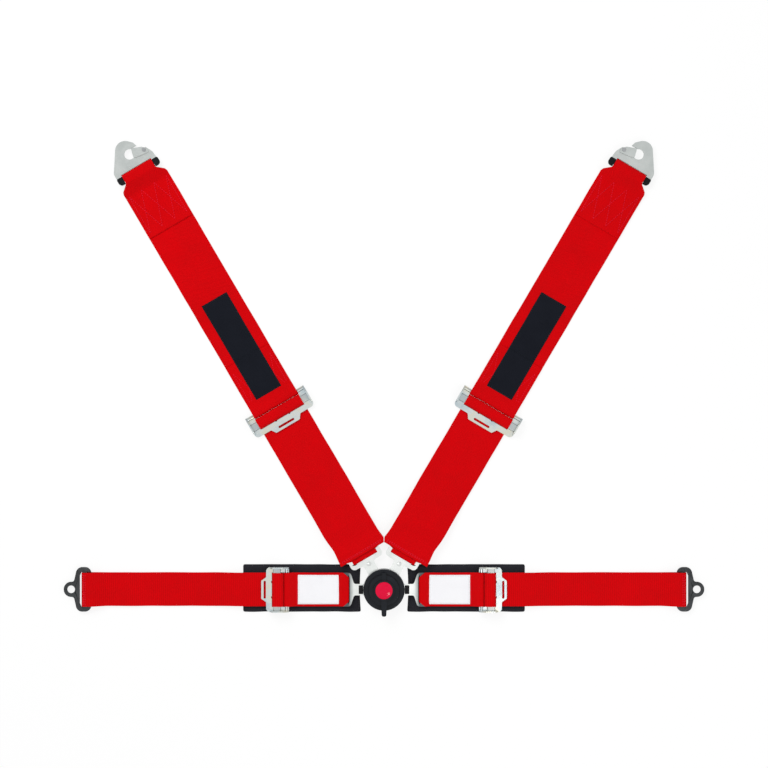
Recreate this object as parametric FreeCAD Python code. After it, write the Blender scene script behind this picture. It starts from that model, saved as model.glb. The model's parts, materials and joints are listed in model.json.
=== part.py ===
import FreeCAD, Part
import math
import os

V = FreeCAD.Vector

# Frame: the harness lies flat on z = 0 with the buckle's axis on Z. The lap straps run along X and the
# shoulder straps rise towards +Y. Each arm is made in its own frame, with x outward along the strap from
# the buckle's axis, y across it and z up, and is then turned or mirrored into place. Millimetres.

# ---- webbing
web = 1.4                      # thickness of one layer
pair = 2 * web + 0.1           # two layers lying on each other
clear = 0.3                    # running clearance between pieces that move on each other
shoulderWidth = 75.0
lapWidth = 50.0
shoulderAngle = 59.6           # from +X, for the right-hand shoulder strap

# ---- buckle
buckleRadius = 30.75
coverFloor = 2.5
coverWall = 2.5
slotFloor = 7.4                # top of the base plate, on which the tongues slide
housingWall = 2.55
roofThick = 3.0
housingRound = 2.0
postRadius = 2.5
hubRadius = 6.0
knobRadius = 23.25
knobDisc = 3.4
knobBossRadius = 15.25
knobRise = 6.7                 # boss above the knob's underside
badgeRadius = 12.7
badgeDepth = 2.2
badgeDome = 1.7
leverReach = 38.6
leverWidth = 9.1
leverTipWidth = 6.8
ribReach = 26.0
camRadius = 13.0
camThick = 1.0
ringThick = 1.0
ringInner = 9.0
pinCircle = 23.4
pinRadius = 1.9
pinLift = 0.9
springWire = 0.7
springTurns = 4
screwRadius = 1.25
screwHeadRadius = 2.6
screwCircle = 24.0
screwAngles = [90.0, -40.0, -140.0]

# ---- tongues
tongueThick = 2.5
neckWidth = 17.0
headStart = 18.6
barReach = 7.4                 # width of the bar that the webbing goes round
armWidth = 3.75

# ---- adjusters, along the strap from the rear bar's axis towards the tab
rearBarRadius = 2.5
plateThick = 2.0
frontBarStart = 22.0
frontBarEnd = 30.4
railEnd = -3.6
cheekThick = 2.0
cheekTop = 13.0
lockEnd = 19.9
lockBottom = 5.5
lockThick = 4.0
lockTravel = 2.0
lockRoom = 0.6                 # between the lock bar and the webbing round it
lockStart = rearBarRadius + 2 * clear + 2 * web + lockRoom + lockTravel
tabReach = 37.7
tabSlotLength = 3.4
shoulderFrameWidth = 100.3
shoulderTabWidth = 40.6
lapFrameWidth = 66.8
lapTabWidth = 27.0
tabSlotWidth = 26.5

# ---- places along the arms
shoulderRear = 320.2           # rear bar of the shoulder adjuster
shoulderFold = 730.6           # outer face of the fold round the hook's bar
hemPull = 2.0                  # the tails draw in this much at their corners, where the two straps meet
hemGap = 0.45                  # from a tail's corner to the middle plane
shoulderRise = math.radians(shoulderAngle)
shoulderHem = (((shoulderWidth / 2 - hemPull) * math.sin(shoulderRise) + hemGap)
               / math.cos(shoulderRise))      # free end of the shoulder strap's tail
lapRear = 145.1
lapFold = 451.2                # outer face of the fold round the bracket's bar
lapLoop = 51.9                 # outer face of the fold round the tongue's bar
overlapLow = shoulderRear + 83.4      # end of the return layer sewn up from the adjuster
overlapHigh = shoulderFold - 102.6    # end of the return layer sewn down from the hook
hemLength = 13.0
sewnLength = 85.0

# ---- pads
padStart = buckleRadius + 3.75
padCorner = 2.5
padEnd = 210.4
padLow = -31.8
padHigh = 37.0
padThick = 5.0

# ---- labels
labelThick = 0.5
shoulderLabel = [shoulderRear + 19.6, shoulderRear + 181.7, 43.0]      # start, end, width
lapLabel = [67.0, 128.3, 43.5]

# ---- hooks
hookThick = 4.0
hookBar = 6.6                  # along the strap
guardWall = 0.5
guardEar = 4.0                 # ears of the guard, behind the bar
hookWidth = 68.8
throatRadius = 8.0
throatOut = 21.0
gateLeaf = 1.2
gateRivetRadius = 1.5
gateRivetAcross = 23.2
gateRivetOut = 15.8            # beyond the fold
foldWidth = 50.4

# ---- lap end brackets
bracketThick = 3.0
bracketBar = 6.0
boltRadius = 5.75              # 7/16 inch eye bolt
eyeRadius = 11.0
eyeOut = 15.5                  # eye centre beyond the fold
bracketWidth = 66.4


# ---- shapes
def rounded(corners):
    # face inside (x, y, radius) corners, counted round the outline
    count = len(corners)
    ends = []
    for i in range(count):
        x, y, r = corners[i]
        p = V(x, y, 0)
        back = (V(corners[i - 1][0], corners[i - 1][1], 0) - p).normalize()
        ahead = (V(corners[(i + 1) % count][0], corners[(i + 1) % count][1], 0) - p).normalize()
        if r <= 0:
            ends.append((p, None, p))
            continue
        half = math.acos(max(-1.0, min(1.0, back.dot(ahead)))) / 2
        reach = r / math.tan(half)
        middle = (back + ahead).normalize()
        centre = p + middle * (r / math.sin(half))
        ends.append((p + back * reach, centre - middle * r, p + ahead * reach))
    edges = []
    for i in range(count):
        start, mid, end = ends[i]
        if mid is not None:
            edges.append(Part.Arc(start, mid, end).toShape())
        following = ends[(i + 1) % count][0]
        if (following - end).Length > 1e-5:
            edges.append(Part.LineSegment(end, following).toShape())
    return Part.Face(Part.Wire(edges))


def plate(corners, low, high):
    face = rounded(corners)
    face.translate(V(0, 0, low))
    return face.extrude(V(0, 0, high - low))


def side(corners, width):
    # a profile in x and z, carried across the strap
    face = rounded(corners)
    face.rotate(V(0, 0, 0), V(1, 0, 0), 90)
    face.translate(V(0, width / 2, 0))
    return face.extrude(V(0, -width, 0))


def disc(radius, low, high, x=0.0, y=0.0):
    return Part.makeCylinder(radius, high - low, V(x, y, low))


def tube(outer, inner, low, high, x=0.0, y=0.0):
    return disc(outer, low, high, x, y).cut(disc(inner, low - 1, high + 1, x, y))


def block(x0, x1, y0, y1, z0, z1):
    return Part.makeBox(x1 - x0, y1 - y0, z1 - z0, V(x0, y0, z0))


def across(radius, width, x, z):
    # round bar across the strap
    return Part.makeCylinder(radius, width, V(x, -width / 2, z), V(0, 1, 0))


def mirrored(points):
    # outline symmetric about y = 0, from its +y half in order of x
    return points + [(x, -y, r) for x, y, r in reversed(points)]


def around(shape, angle):
    turned = shape.copy()
    turned.rotate(V(0, 0, 0), V(0, 0, 1), angle)
    return turned


def polar(radius, angle):
    return V(radius * math.cos(math.radians(angle)), radius * math.sin(math.radians(angle)), 0)


parts = {}


def keep(name, shape):
    if isinstance(shape, Part.Compound) and len(shape.Solids) == 1:
        shape = shape.Solids[0]
    parts[name] = shape


# ---- buckle
armAngles = [0.0, shoulderAngle, 180.0 - shoulderAngle, 180.0]
tongueTop = slotFloor + clear + tongueThick
slotRoof = tongueTop + clear
tongueMid = tongueTop - tongueThick / 2
innerRadius = buckleRadius - housingWall
ringBottom = slotRoof + camThick + clear
ringTop = ringBottom + ringThick
roofUnder = ringTop + pinLift + clear
housingTop = roofUnder + roofThick
knobBase = housingTop + clear
knobDiscTop = knobBase + knobDisc
knobTop = knobBase + knobRise
badgeSeat = knobTop - badgeDepth
postHeadLow = knobDiscTop
postHeadTop = badgeSeat - clear


def screwPlaces():
    return [polar(screwCircle, angle) for angle in screwAngles]


def makeBuckle():
    cover = disc(buckleRadius, 0, slotFloor).cut(disc(innerRadius, coverFloor, slotFloor + 1))
    cover = cover.makeFillet(1.0, [e for e in cover.Edges if abs(e.BoundBox.ZMax) < 1e-6])
    base = disc(innerRadius - clear, coverFloor, slotFloor)
    base = base.cut(tube(20.0, 9.0, coverFloor - 1, coverFloor + 2.4))
    base = base.cut(disc(postRadius, 0, slotFloor + 1))
    housing = disc(buckleRadius, slotFloor, housingTop)
    housing = housing.makeFillet(housingRound, [e for e in housing.Edges if e.BoundBox.ZMin > housingTop - 0.01])
    housing = housing.cut(disc(innerRadius, slotFloor - 1, roofUnder))
    housing = housing.cut(disc(hubRadius + clear, 0, housingTop + 1))
    for place in screwPlaces():
        housing = housing.fuse(disc(3.0, slotFloor, roofUnder + 0.5, place.x, place.y))
    for angle in armAngles:
        slot = block(headStart - 1, buckleRadius + 2, -neckWidth / 2 - clear, neckWidth / 2 + clear,
                     slotFloor, slotRoof)
        housing = housing.cut(around(slot, angle))
    springAngles = armAngles[:3] + [-90.0]
    springPlaces = [polar(pinCircle, angle) for angle in springAngles]
    pocketRoof = housingTop - 0.8
    for place in springPlaces:
        housing = housing.cut(disc(2.3, slotRoof, pocketRoof, place.x, place.y))
    screws = []
    for place in screwPlaces():
        head = disc(screwHeadRadius, 0.4, 1.8, place.x, place.y)
        shank = disc(screwRadius, 1.8, roofUnder - 1, place.x, place.y)
        hex = [(place.x + 1.2 * math.cos(math.radians(60 * k)),
                place.y + 1.2 * math.sin(math.radians(60 * k)), 0) for k in range(6)]
        screws.append(head.fuse(shank).cut(plate(hex, 0, 1.2)))
        cover = cover.cut(disc(screwHeadRadius + 0.1, -1, 1.8, place.x, place.y))
        hole = disc(screwRadius, 0, roofUnder - 1, place.x, place.y)
        cover = cover.cut(hole)
        base = base.cut(hole)
        housing = housing.cut(hole)
    rivetAt = polar(pinCircle, 180.0)
    rivetHole = disc(pinRadius, 4.0, slotRoof, rivetAt.x, rivetAt.y)
    keep("back_cover", cover)
    keep("base_plate", base.cut(rivetHole))
    keep("housing", housing)
    keep("base_screws", Part.makeCompound(screws))
    keep("fixed_tongue_rivet", rivetHole)
    post = disc(postRadius, coverFloor, postHeadLow).fuse(disc(4.0, postHeadLow, postHeadTop))
    keep("centre_post", post)
    ring = tube(innerRadius - 1.5, ringInner, ringBottom, ringTop)
    for place in screwPlaces():
        ring = ring.cut(disc(3.5, 0, housingTop, place.x, place.y))
    for angle in armAngles[:3]:
        place = polar(pinCircle, angle)
        ring = ring.fuse(disc(pinRadius, slotRoof, ringBottom, place.x, place.y))
    keep("locking_pins", ring)
    pitch = (pocketRoof - ringTop) / springTurns
    coils = []
    for place in springPlaces:
        for k in range(springTurns):
            height = ringTop + pitch * (k + 0.5)
            coils.append(Part.makeTorus(1.3, springWire / 2, V(place.x, place.y, height)))
    keep("pin_springs", Part.makeCompound(coils))
    returns = [Part.makeTorus(7.5, 0.45, V(0, 0, ringTop - clear + 0.9 * k)) for k in range(2)]
    keep("return_spring", Part.makeCompound(returns))


def makeKnob():
    knob = disc(knobRadius, knobBase, knobDiscTop)
    knob = knob.makeFillet(1.2, [e for e in knob.Edges if e.BoundBox.ZMin > knobDiscTop - 0.01])
    boss = disc(knobBossRadius, knobDiscTop - 0.5, knobTop)
    lever = plate(mirrored([(knobBossRadius - 2, leverWidth / 2, 0),
                            (leverReach, leverTipWidth / 2, 2.6)]), knobBase + 0.4, knobTop - 1.0)
    rib = plate(mirrored([(knobBossRadius - 2, leverTipWidth / 2, 0),
                          (ribReach, leverTipWidth / 2, 1.5)]), knobBase + 0.4, knobTop - 1.6)
    knob = knob.fuse(boss).fuse(around(lever, -90)).fuse(around(rib, 90))
    knob = knob.fuse(disc(hubRadius, slotRoof, knobBase))
    knob = knob.cut(disc(badgeRadius + 0.1, badgeSeat, knobTop + 1))
    knob = knob.cut(disc(4.0 + clear, knobDiscTop - clear, badgeSeat))
    knob = knob.cut(disc(postRadius + clear, 0, knobTop))
    keep("release_knob", knob.removeSplitter())
    domeRadius = (badgeRadius ** 2 + badgeDome ** 2) / (2 * badgeDome)
    ball = Part.makeSphere(domeRadius, V(0, 0, knobTop - 0.3 + badgeDome - domeRadius))
    badge = disc(badgeRadius, badgeSeat, knobTop + 5).common(ball)
    keep("knob_badge", badge)
    cam = tube(camRadius, hubRadius, slotRoof, slotRoof + camThick)
    for k in range(3):
        cam = cam.cut(around(disc(2.5, 0, housingTop, camRadius + 0.6, 0), 30 + 120 * k))
    keep("release_cam", cam)


# ---- arms: every piece below is made for an arm that runs out along +x
loopOuter = tongueThick / 2 + clear + web            # webbing round a tongue's bar
tongueLoopLow = tongueMid - loopOuter
tongueLoopTop = tongueMid + loopOuter
rearCavity = rearBarRadius + clear
rearOuter = rearCavity + web
rearAxisUp = rearOuter
hookHalfLong = (hookBar + 2 * guardWall) / 2
hookHalfThick = hookThick / 2 + guardWall
hookCavity = math.hypot(hookHalfLong, hookHalfThick) + clear
hookOuter = hookCavity + web
bracketCavity = math.hypot(bracketBar / 2, bracketThick / 2) + clear
bracketOuter = bracketCavity + web
wrapEnd = frontBarStart + 2.0
flatStart = wrapEnd + 0.8                            # leaves room for the adjuster to tilt
lapLift = padThick + clear


def makeTongue(barStart, loopHalf, shoulderHalf, neckShort, shoulderShort, dimpled):
    # flat plate: head in the buckle, neck, shoulders, and a bar between two arms; the neck and the
    # shoulders end that far short of the bar
    barEnd = barStart + barReach
    windowStart = barStart - clear - web - 0.9
    shape = plate(mirrored([(headStart, neckWidth / 2, 2.0), (barStart - neckShort, neckWidth / 2, 3.5),
                            (barStart - shoulderShort, shoulderHalf, 6.0), (barEnd + 2.6, shoulderHalf, 3.0)]),
                  tongueTop - tongueThick, tongueTop)
    if dimpled:
        shape = shape.cut(Part.makeSphere(8.0, V(barStart - neckShort - 1.1, 0, tongueTop + 7.2)))
    shape = shape.cut(disc(pinRadius + clear, 0, housingTop, pinCircle, 0))
    windowHalf = shoulderHalf - armWidth
    window = plate(mirrored([(windowStart, loopHalf + 0.5, 1.2), (windowStart + 1.8, windowHalf, 0),
                             (barStart, windowHalf, 0)]), 0, housingTop)
    bars = plate(mirrored([(barEnd, windowHalf, 0), (barEnd + 4, windowHalf, 0)]), 0, housingTop)
    return shape.cut(window).cut(bars)


def makeAdjuster(rear, way, lift, frameWidth, strapWidth, tabWidth):
    # rear is the rear bar's place, way is +1 where the tab points out along the arm
    half = frameWidth / 2
    inner = strapWidth / 2 + 0.6
    plateLow = pair + clear
    plateTop = plateLow + plateThick
    outline = mirrored([(railEnd, half, 3.0), (frontBarEnd, half, 6.0), (frontBarEnd, tabWidth / 2 + 5.0, 2.0),
                        (tabReach - 4.0, tabWidth / 2 + 2.6, 2.0), (tabReach, tabWidth / 2, 2.0)])
    frame = plate(outline, plateLow, plateTop)
    frame = frame.cut(block(railEnd - 1, frontBarStart, -inner, inner, 0, plateTop + 1))
    slotStart = frontBarEnd + 0.4
    frame = frame.cut(plate(mirrored([(slotStart, tabSlotWidth / 2, 1.5),
                                      (slotStart + tabSlotLength, tabSlotWidth / 2, 1.5)]), 0, plateTop + 1))
    for across_ in (-11.5, 11.5):
        frame = frame.cut(block(frontBarStart - 1, frontBarStart + 1.0, across_ - 1.5, across_ + 1.5,
                                0, plateTop + 1))
    cheek = side([(railEnd, plateLow, 1.0), (railEnd, plateTop + 2.5, 1.5), (6.5, cheekTop, 2.5),
                  (lockEnd + 1.5, cheekTop, 2.5), (frontBarEnd - 4.5, plateLow, 0.5)], cheekThick)
    slot = side([(lockStart - lockTravel - clear, lockBottom - clear, 0.8),
                 (lockEnd + clear, lockBottom - clear, 0.8),
                 (lockEnd + clear, lockBottom + lockThick + clear, 0.8),
                 (lockStart - lockTravel - clear, lockBottom + lockThick + clear, 0.8)], cheekThick * 3)
    for hand in (-1, 1):
        placed = cheek.cut(slot)
        placed.translate(V(0, hand * (half - cheekThick / 2), 0))
        frame = frame.fuse(placed)
    frame = frame.fuse(across(rearBarRadius, frameWidth - cheekThick, 0, rearAxisUp))
    lockBar = side([(lockStart, lockBottom, 1.4), (lockEnd, lockBottom, 1.4),
                    (lockEnd, lockBottom + lockThick, 1.4), (lockStart, lockBottom + lockThick, 1.4)],
                   frameWidth - 0.4)
    cavityStart = lockStart - lockTravel - lockRoom
    cavityEnd = lockEnd + 0.4
    cavityTop = lockBottom + lockThick + clear
    wrap = side([(cavityStart - web, 0, 2.4), (cavityStart - web, cavityTop + web, 3.4),
                 (cavityEnd + web, cavityTop + web, 3.4), (cavityEnd + web, pair, 0), (wrapEnd, pair, 0),
                 (wrapEnd, 0, 0)], strapWidth)
    cavity = side([(cavityStart, web, 1.0), (cavityStart, cavityTop, 2.0), (cavityEnd, cavityTop, 2.0),
                   (cavityEnd, web, 0)], strapWidth + 2)
    made = [frame.removeSplitter(), lockBar, wrap.cut(cavity)]
    for shape in made:
        if way < 0:
            shape.rotate(V(0, 0, 0), V(0, 0, 1), 180)
        shape.translate(V(rear, 0, lift))
    return made


def shoulderLower():
    barStart = shoulderHem - 6.4
    loopX = barStart + tongueThick / 2
    start = loopX - loopOuter
    flat = shoulderRear - flatStart
    rampTop = tongueLoopLow + 3 * web
    solid = side([(flat, 0, 0), (flat, pair, 0), (165, pair, 30), (100, rampTop, 20),
                  (shoulderHem + hemLength, tongueLoopTop + 2 * web, 4), (shoulderHem, tongueLoopTop + 2 * web, 0),
                  (shoulderHem, tongueLoopTop, 0), (start, tongueLoopTop, loopOuter),
                  (start, tongueLoopLow, loopOuter), (115, tongueLoopLow, 30), (165, 0, 30)], shoulderWidth)
    plan = plate(mirrored([(start - 1, 19.0, 0), (start + 1, 19.0, 3), (shoulderHem - 0.2, 22.0, 0),
                           (shoulderHem - 0.1, shoulderWidth / 2 - hemPull, 1.5),
                           (shoulderHem + 3.4, shoulderWidth / 2, 5),
                           (flat + 1, shoulderWidth / 2, 0)]), -1, 40)
    return solid.common(plan).cut(barRoom(barStart)), barStart


def barRoom(barStart):
    room = side([(barStart - clear, tongueMid - tongueThick / 2 - clear, 1.2),
                 (barStart - clear, tongueMid + tongueThick / 2 + clear, 1.2),
                 (barStart + barReach + 3, tongueMid + tongueThick / 2 + clear, 0.5),
                 (barStart + barReach + 3, tongueMid - tongueThick / 2 - clear, 0.5)], 200)
    return room


def shoulderUpper():
    hookAxis = shoulderFold - hookOuter
    rearLow = shoulderRear - rearOuter
    solid = side([(rearLow, 0, rearOuter), (rearLow, 2 * rearOuter, rearOuter), (shoulderRear + 2, 2 * rearOuter, 0),
                  (shoulderRear + 18, 2 * web, 12), (overlapLow, 2 * web, 0), (overlapLow, web, 0),
                  (overlapHigh, web, 0), (overlapHigh, 2 * web, 0), (hookAxis - 24, 2 * web, 12),
                  (hookAxis - 3, 2 * hookOuter, 3), (shoulderFold, 2 * hookOuter, hookOuter),
                  (shoulderFold, 0, hookOuter)], shoulderWidth)
    plan = plate(mirrored([(rearLow - 1, shoulderWidth / 2, 0), (shoulderFold - 26, shoulderWidth / 2, 6),
                           (shoulderFold - 15.5, foldWidth / 2, 3), (shoulderFold + 1, foldWidth / 2, 0)]), -1, 40)
    solid = solid.common(plan)
    solid = solid.cut(across(rearCavity, 200, shoulderRear, rearAxisUp))
    return solid.cut(across(hookCavity, 200, hookAxis, hookOuter))


def shoulderLabelStrip():
    start, end, width = shoulderLabel
    step = overlapLow
    return side([(start, 2 * web, 0), (step, 2 * web, 0), (step, web, 0), (end, web, 0),
                 (end, web + labelThick, 0), (step + labelThick, web + labelThick, 0),
                 (step + labelThick, 2 * web + labelThick, 0), (start, 2 * web + labelThick, 0)], width)


def makeHook():
    # flat snap hook: a bar for the webbing, a throat open at one side of the nose, and a sprung gate
    low = hookOuter - hookThick / 2
    top = hookOuter + hookThick / 2
    axis = -hookOuter
    barOut = axis + hookBar / 2
    barIn = axis - hookBar / 2
    half = hookWidth / 2
    outline = [(barIn, -half, 2.5), (6.5, -half, 9), (51.8, -4.4, 15), (33.5, 14.2, 3), (27.0, 16.3, 1.5),
               (17.7, 27.5, 3), (8.0, 32.6, 6), (barIn, half, 2.5)]
    shape = plate(outline, low, top)
    shape = shape.cut(disc(throatRadius, 0, 40, throatOut, 1.0))
    besideRivet = gateRivetRadius + 1.8
    mouth = plate([(14.0, 3.0, 2), (15.0, gateRivetAcross - besideRivet, 0),
                   (gateRivetOut + besideRivet, gateRivetAcross - besideRivet, besideRivet), (17.6, 32.0, 0),
                   (26.0, 40.0, 0), (27.2, 16.0, 0), (27.6, 3.0, 2)], 0, 40)
    shape = shape.cut(mouth)
    slotHalf = foldWidth / 2 + 0.8
    slotOut = axis + hookOuter + clear
    shape = shape.cut(plate(mirrored([(barOut, slotHalf, 0.5), (slotOut, slotHalf, 1.2)]), 0, 40))
    rivetHole = disc(2.7, 0, 40, gateRivetOut, gateRivetAcross)
    shape = shape.cut(rivetHole)
    guard = plate(mirrored([(axis - hookHalfLong - guardEar, half + 0.6, 5.5), (barOut + guardWall, half + 0.6, 2.5)]),
                  hookOuter - hookHalfThick, hookOuter + hookHalfThick)
    guard = guard.cut(block(axis - hookHalfLong - guardEar - 1, axis - hookHalfLong, -slotHalf, slotHalf, 0, 40))
    guard = guard.cut(block(barIn, barOut + 1, -half, half, low, top))
    leafLow = low - clear
    leafTop = top + clear
    leafOutline = [(27.3, 7.3, 1.5), (21.3, 22.4, 2.5), (15.0, 28.0, 3.5), (9.2, 27.7, 2.5), (12.4, 3.4, 3)]
    gate = plate(leafOutline, leafLow - gateLeaf, leafLow).fuse(plate(leafOutline, leafTop, leafTop + gateLeaf))
    gate = gate.fuse(plate([(26.6, 7.9, 0.4), (21.7, 20.9, 0.4), (20.6, 20.5, 0.3), (25.5, 7.5, 0.3)],
                           leafLow - gateLeaf, leafTop + gateLeaf))
    gate = gate.cut(disc(gateRivetRadius + clear, 0, 40, gateRivetOut, gateRivetAcross))
    headGap = gateLeaf + clear
    rivet = disc(gateRivetRadius, leafLow - headGap, leafTop + headGap, gateRivetOut, gateRivetAcross)
    for start in (leafLow - headGap - 0.8, leafTop + headGap):
        rivet = rivet.fuse(disc(3.0, start, start + 0.8, gateRivetOut, gateRivetAcross))
    coils = [Part.makeTorus(2.15, 0.35, V(gateRivetOut, gateRivetAcross, low + 0.55 + 0.95 * k)) for k in range(4)]
    return {"hook": shape, "hook_guard": guard, "hook_gate": gate, "gate_rivet": rivet.removeSplitter(),
            "gate_spring": Part.makeCompound(coils)}


def makeBracket():
    # eye plate: a bolt eye, concave flanks, and a bar that the webbing is sewn round
    axis = lapFold - bracketOuter
    half = bracketWidth / 2
    low = bracketOuter - bracketThick / 2
    eye = lapFold + eyeOut
    lobe = 9.3                 # rounding of the two ends of the bar
    outline = mirrored([(axis - 9.5, half, lobe), (lapFold + 6.5, half, lobe),
                        (lapFold + 11.4, eyeRadius + 0.4, 4), (eye + eyeRadius, eyeRadius, eyeRadius - 0.05)])
    shape = plate(outline, low, low + bracketThick)
    slotHalf = lapWidth / 2 + 0.6
    shape = shape.cut(plate(mirrored([(axis + bracketBar / 2, slotHalf, 0.5), (lapFold + clear, slotHalf, 0.3),
                                      (lapFold + 2.6, slotHalf - 5.0, 1.2)]), 0, 40))
    shape = shape.cut(block(axis - 20, axis - bracketBar / 2, -slotHalf, slotHalf, 0, 40))
    return shape.cut(disc(boltRadius, 0, 40, eye, 0))


def lapInner():
    barStart = lapLoop + web + clear
    start = barStart - clear - web
    top = lapLift + pair
    solid = side([(start, tongueLoopLow, loopOuter), (start, tongueLoopTop, loopOuter),
                  (barStart + barReach + 0.6, tongueLoopTop, 1), (66.6, top, 2), (lapRear - 14, top, 8),
                  (lapRear - 2, lapLift + 2 * rearOuter, 0), (lapRear + rearOuter, lapLift + 2 * rearOuter, rearOuter),
                  (lapRear + rearOuter, lapLift, rearOuter), (70, lapLift, 6), (62, tongueLoopLow, 6)], lapWidth)
    plan = plate(mirrored([(start - 1, 16.7, 0), (start, 16.7, 0), (start + 8.6, lapWidth / 2, 2),
                           (lapRear + 20, lapWidth / 2, 0)]), -1, 40)
    solid = solid.common(plan).cut(barRoom(barStart))
    return solid.cut(across(rearCavity, 200, lapRear, lapLift + rearAxisUp)), barStart


def lapOuter():
    axis = lapFold - bracketOuter
    start = lapRear + flatStart
    stack = 3 * web + 0.1
    solid = side([(start, lapLift, 0), (start, lapLift + pair, 0), (padEnd + 8, lapLift + pair, 20),
                  (padEnd + 42, pair, 20), (axis - sewnLength, pair, 0), (axis - sewnLength, stack, 0),
                  (axis - 40, stack, 20), (axis - 14, 2 * bracketOuter + 2 * web, 4),
                  (axis, 2 * bracketOuter + 2 * web, 0), (axis, 2 * bracketOuter, 0),
                  (lapFold, 2 * bracketOuter, bracketOuter), (lapFold, 0, bracketOuter),
                  (padEnd + 42, 0, 20), (padEnd + 8, lapLift, 20)], lapWidth)
    return solid.cut(across(bracketCavity, 200, axis, bracketOuter))


def makeShoulder():
    lower, barStart = shoulderLower()
    frame, lockBar, wrap = makeAdjuster(shoulderRear, -1, 0.0, shoulderFrameWidth, shoulderWidth, shoulderTabWidth)
    made = {"tongue": makeTongue(barStart, 19.0, 26.25, 9.5, 8.2, True), "lower_webbing": lower,
            "webbing_wrap": wrap, "adjuster_frame": frame, "lock_bar": lockBar,
            "upper_webbing": shoulderUpper(), "label": shoulderLabelStrip()}
    for name, shape in makeHook().items():
        moved = shape.copy()
        moved.translate(V(shoulderFold, 0, 0))
        made[name] = moved
    return made


def makeLap():
    inner, barStart = lapInner()
    frame, lockBar, wrap = makeAdjuster(lapRear, 1, lapLift, lapFrameWidth, lapWidth, lapTabWidth)
    start, end, width = lapLabel
    tongue = makeTongue(barStart, 17.2, 25.25, 9.1, 3.6, False)
    insert = plate(mirrored([(30.9, 6.5, 1.0), (37.7, 6.5, 1.0)]), tongueTop - 1.2, tongueTop)
    padHalf = (padHigh - padLow) / 2
    pad = plate(mirrored([(padStart, padHalf, padCorner), (padEnd, padHalf, padCorner)]), 0, padThick)
    pad.translate(V(0, (padHigh + padLow) / 2, 0))
    top = lapLift + pair
    return {"tongue": tongue.cut(insert), "neck_insert": insert, "inner_webbing": inner,
            "label": block(start, end, -width / 2, width / 2, top, top + labelThick),
            "adjuster_frame": frame, "lock_bar": lockBar, "webbing_wrap": wrap,
            "outer_webbing": lapOuter(), "bracket": makeBracket(), "pad": pad}


makeBuckle()
makeKnob()
for name, shape in makeShoulder().items():
    turned = around(shape, shoulderAngle)
    keep("right_shoulder_" + name, turned)
    keep("left_shoulder_" + name, turned.mirror(V(0, 0, 0), V(1, 0, 0)))
for name, shape in makeLap().items():
    keep("right_lap_" + name, shape)
    keep("left_lap_" + name, shape.mirror(V(0, 0, 0), V(1, 0, 0)))

os.makedirs("parts", exist_ok=True)
for name, shape in parts.items():
    shape.exportStep("parts/" + name + ".step")
    box = shape.BoundBox
    print(name, len(shape.Solids), shape.isValid(), round(shape.Volume),
          [round(v, 2) for v in (box.XMin, box.XMax, box.YMin, box.YMax, box.ZMin, box.ZMax)])
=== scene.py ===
import bpy
import bmesh
import json
import math
from mathutils import Matrix, Vector, noise
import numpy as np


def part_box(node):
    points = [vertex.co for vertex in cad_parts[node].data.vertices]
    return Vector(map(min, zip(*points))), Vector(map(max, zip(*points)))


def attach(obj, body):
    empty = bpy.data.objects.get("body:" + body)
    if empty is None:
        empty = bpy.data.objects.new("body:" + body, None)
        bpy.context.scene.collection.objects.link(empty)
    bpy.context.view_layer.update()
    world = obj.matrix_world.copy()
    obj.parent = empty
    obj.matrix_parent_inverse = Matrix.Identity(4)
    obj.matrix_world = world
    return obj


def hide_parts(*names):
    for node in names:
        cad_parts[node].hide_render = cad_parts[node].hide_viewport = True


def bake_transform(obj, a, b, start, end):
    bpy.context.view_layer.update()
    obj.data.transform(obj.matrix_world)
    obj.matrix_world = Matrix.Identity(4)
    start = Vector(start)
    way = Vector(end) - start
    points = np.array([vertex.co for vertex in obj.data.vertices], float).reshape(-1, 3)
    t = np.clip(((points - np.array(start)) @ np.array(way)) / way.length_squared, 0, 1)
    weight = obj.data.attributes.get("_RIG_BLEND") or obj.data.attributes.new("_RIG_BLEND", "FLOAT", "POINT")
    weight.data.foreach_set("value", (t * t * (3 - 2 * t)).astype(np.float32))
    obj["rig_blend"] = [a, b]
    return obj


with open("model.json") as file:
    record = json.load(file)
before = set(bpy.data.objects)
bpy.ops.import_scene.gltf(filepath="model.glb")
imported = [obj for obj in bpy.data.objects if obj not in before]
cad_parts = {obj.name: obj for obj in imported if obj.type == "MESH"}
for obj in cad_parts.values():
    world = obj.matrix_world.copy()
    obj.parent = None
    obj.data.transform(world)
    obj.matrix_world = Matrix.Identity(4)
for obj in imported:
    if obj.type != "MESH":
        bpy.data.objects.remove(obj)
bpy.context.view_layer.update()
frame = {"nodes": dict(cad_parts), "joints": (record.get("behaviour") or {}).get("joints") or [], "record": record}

nodes = frame["nodes"]
joints = {joint["name"]: joint for joint in frame["joints"]}
scene = bpy.context.scene
scene.view_settings.view_transform = "Standard"


# camera first: straight down on the harness, long lens
cameraSettings = {"lens": 85.0, "centre": (0.0, 0.3063), "fieldWidth": 1.148}


def makeCamera():
    data = bpy.data.cameras.new("camera")
    data.lens = cameraSettings["lens"]
    camera = bpy.data.objects.new("camera", data)
    scene.collection.objects.link(camera)
    away = cameraSettings["fieldWidth"] * data.lens / data.sensor_width
    camera.location = (*cameraSettings["centre"], away)
    scene.camera = camera


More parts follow.
